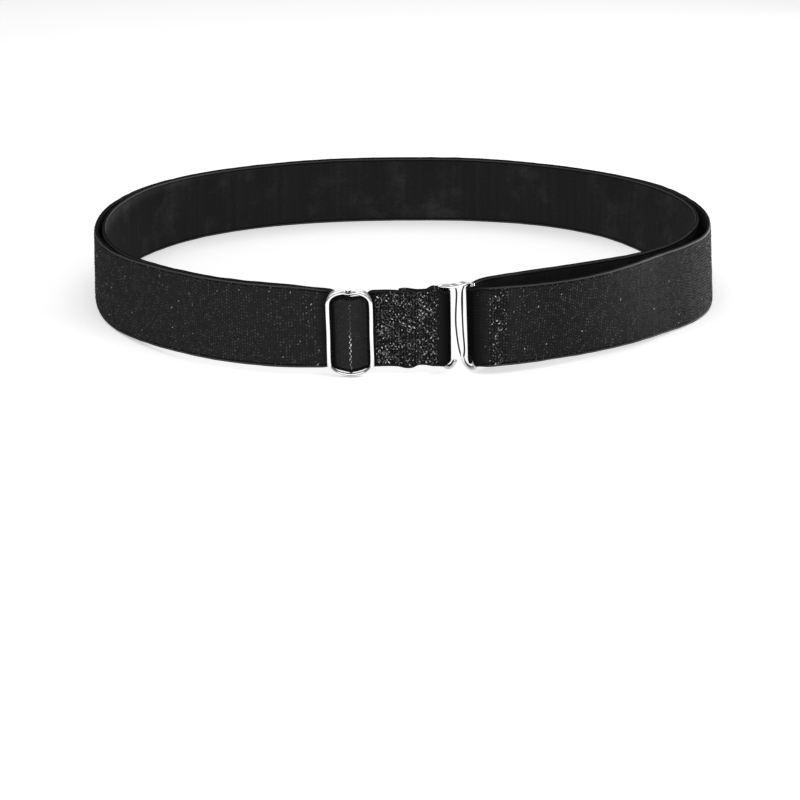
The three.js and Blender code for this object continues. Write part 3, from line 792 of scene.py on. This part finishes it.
def solder(name, shapes, finish):
    """Joins closed shapes into one solid; a shape is its corners, its faces and how darkened with painted
    shade and how dull each corner is.
    """
    first, *others = [show(f"{name}_{i}", *shape[:2], finish) for i, shape in enumerate(shapes)]
    for part, (_, _, shading) in zip((first, *others), shapes):
        part.data.attributes.new("dull_and_shaded", "FLOAT", "POINT").data.foreach_set("value", shading)
    for other in others:
        union = first.modifiers.new("union", "BOOLEAN")
        union.operation, union.solver, union.object = "UNION", "MANIFOLD", other
    depsgraph = bpy.context.evaluated_depsgraph_get()
    mesh = bpy.data.meshes.new_from_object(first.evaluated_get(depsgraph), depsgraph=depsgraph)
    mesh.name = name
    for part in (first, *others):
        bpy.data.objects.remove(part)
    piece = bpy.data.objects.new(name, mesh)
    scene.collection.objects.link(piece)
    return piece


nickel = Finish("polished_nickel", Metallic=1.0)
on_nickel = nickel.node("ShaderNodeTexCoord", {}, {}, output=3)
worn = nickel.node("ShaderNodeTexNoise", {}, {
    "Vector": on_nickel, "Scale": 420.0, "Detail": 5.0, "Roughness": 0.6,
})
dull_and_shaded = nickel.node("ShaderNodeAttribute", {"attribute_name": "dull_and_shaded"}, output=2)
plating = nickel.mix(worn, (0.82, 0.82, 0.82, 1), (0.94, 0.94, 0.94, 1))
nickel.vary(
    # The plating is darkened towards black by painted shade and painted reflection, and made rougher there.
    Base_Color=nickel.mix(dull_and_shaded.fade(0.0, 0.6), plating, (0.05, 0.05, 0.05, 1)),
    Roughness=0.06 + 0.10 * worn.fade(0.45, 0.8) + 0.35 * dull_and_shaded,
)
nickel.relief(worn, 0.00001)


def slider_plan(rows):
    """Points of the slider, from x beside its middle, height and an optional set-back."""
    return upright([(slider_x + row[0], *row[1:]) for row in rows], slider_y, slider_slant, slider_middle_z)


def leaning(rows):
    """Sets the foot of the ring a little forward of its top."""
    return slider_plan([(x, z, foot_forward * (z - ring_top) / (ring_top - ring_bottom)) for x, z in rows])


corner_x, corner_z, bottom_corner_z = 5.4, 4.0, 4.2
low_z, high_z, notch_z = ring_bottom + bottom_corner_z, ring_top - corner_z, ring_top - notch
half_way_z = (low_z + high_z) / 2
ring = [
    *elliptic_arc(0, low_z, half_width, bottom_corner_z, 180, 360, steps=12), (half_width, half_way_z),
    *elliptic_arc(half_width - corner_x, high_z, corner_x, corner_z, 0, 90),
    (notch_x + 1.3, ring_top - 0.2), (notch_x, notch_z), (notch_x - 1.1, ring_top - 0.1),
    *elliptic_arc(corner_x - half_width, high_z, corner_x, corner_z, 90, 180), (-half_width, half_way_z),
]
left_shoulder = [(-7.45, 24.0), (-7.55, 26.4), (-6.15, 29.6), (-3.85, 30.9), (-1.6, 30.6), (-0.4, notch_z)]
right_shoulder = [(7.45, 24.0), (7.55, 26.4), (6.35, 29.4), (4.05, 30.8), (1.6, 30.8), (0.2, 30.2)]
centre_bar = [
    (0, notch_z - 0.2), (0, notch_z - 0.7, 0.6 * back), (0, notch_z - 1.7, back), (0, notch_z - 3.9, back),
    (0, ring_bottom + 3, back), (0, ring_bottom + 1.3, back), (0, ring_bottom + 0.2, 0.4 * back),
    (0, ring_bottom, -foot_forward),
]


def darken_and_dull(shape, marks=(), foot_height=0.0, foot_tone=0.0):
    """Adds painted shade, with dullness, to the corners of a wire, at its foot and in marks.

    A mark is x, z, half its width, half its height and how dark and dull it is.
    """
    vertices, faces = shape
    corners = np.array(vertices) / mm - to_centre
    low, high = foot_height * 0.7, foot_height * 1.3 + 0.01
    amounts = foot_tone * np.clip((high - corners[:, 2]) / (high - low), 0, 1)
    for x, z, half_x, half_z, tone in marks:
        away = ((corners[:, 0] - x) / half_x) ** 2 + ((corners[:, 2] - z) / half_z) ** 2
        amounts = np.maximum(amounts, tone * np.clip(1.4 - away, 0, 1))
    return vertices, faces, amounts


# Painted shade darkens the shoulders' ends in the notch, and the wire is darker and duller where it stands,
# with painted shade under it.
notch_mark = [(slider_x - 0.5, 30.6, 0.9, 0.6, 1.0)]
slider = solder("slide_adjuster_wire", [
    darken_and_dull(wire(leaning(ring), slider_wire, closed=True), notch_mark, foot_height=0.9, foot_tone=0.3),
    darken_and_dull(wire(leaning(left_shoulder), slider_wire * 0.9), notch_mark),
    darken_and_dull(wire(leaning(right_shoulder), slider_wire * 0.85), notch_mark),
    darken_and_dull(wire(slider_plan(centre_bar), slider_bar_wire)),
], nickel)
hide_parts("slide_adjuster")
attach(slider, "root")

# Hook: an arm of thick nickel-plated wire with a closed bar on the right, which holds the
# strap's fold, an open bar on the left for the sewn end, and a flat tapering tongue between.
hook_y = -119.4
hook_wire, left_wire, arm_end_wire, foot_wire = 0.9, 0.85, 0.6, 0.7
top_arm = [
    (11.8, 29.6), (11.9, 30.9), (13.2, 31.5), (16.0, 31.5), (18.8, 31.9),
    (21.2, 32.6), (22.9, 32.9), (23.9, 32.5), (23.95, 31.4),
]
left_bar = [(11.8, 29.9), (12.9, 18.0), (14.0, 6.0), (14.4, 3.3), (15.4, 2.4), (16.9, 2.8), (18.0, 4.4)]
right_bar = [
    (23.95, 31.8), (24.45, 16.0), (25.0, 4.6), (25.1, 2.6), (24.2, 1.8),
    (22.9, 2.3), (21.8, 3.4), (21.0, 4.8), (20.6, 6.6), (20.6, 8.6),
]
tongue_outline = [
    (17.9, 31.8), (18.1, 29.4), (18.0, 17.5), (19.9, 6.6), (20.9, 5.4),
    (21.6, 6.8), (21.0, 17.5), (20.6, 29.4), (21.2, 32.4),
]
tongue_thick, tongue_round = 1.3, 0.8
# Painted reflection: the tongue's sides are dark as if mirroring the black strap, and its faces only a
# little.
side_shade, face_shade = 1.0, 0.12


def tongue():
    """The flat tongue: its outline drawn at several depths, smaller towards the two faces."""
    outline = smooth_line(tongue_outline, [6] * len(tongue_outline), closed=True)
    along = np.roll(outline, -1, 0) - np.roll(outline, 1, 0)
    inward = np.column_stack([-along[:, 1], along[:, 0]])
    inward /= np.linalg.norm(inward, axis=1)[:, None]
    turns = np.radians(np.linspace(-80, 80, 9))
    steps = [(tongue_thick / 2 * math.sin(a), tongue_round * (1 - math.cos(a))) for a in turns]
    vertices = []
    for back, inset in steps:
        vertices += [p * mm for p in upright([(x, z, back) for x, z in outline + inward * inset], hook_y)]
    n = len(outline)
    faces = [tuple(range(n)), tuple(range((len(steps) - 1) * n, len(steps) * n))[::-1]]
    for r in range(len(steps) - 1):
        for k in range(n):
            m = (k + 1) % n
            faces.append((r * n + k, (r + 1) * n + k, (r + 1) * n + m, r * n + m))
    step_shade = [face_shade, *[side_shade] * (len(steps) - 2), face_shade]
    return vertices, faces, np.repeat(step_shade, n)


# Painted dark reflections lie along the top of the arm, and both feet are darker with painted shade where
# they stand.
arm_marks = [(14.6, 32.1, 2.0, 0.3, 0.4), (17.6, 32.35, 1.6, 0.3, 0.4), (20.6, 33.1, 1.4, 0.3, 0.4)]
feet_shade = {"foot_height": 5.0, "foot_tone": 0.26}
hook = solder("hook_clasp_wire", [
    darken_and_dull(wire(upright(top_arm, hook_y), hook_wire, end_radius=arm_end_wire, thin_from=0.8), arm_marks),
    darken_and_dull(wire(upright(left_bar, hook_y), left_wire), **feet_shade),
    darken_and_dull(wire(upright(right_bar, hook_y), hook_wire, end_radius=foot_wire, thin_from=0.8), **feet_shade),
    tongue(),
], nickel)
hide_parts("hook_clasp")
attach(hook, "root")
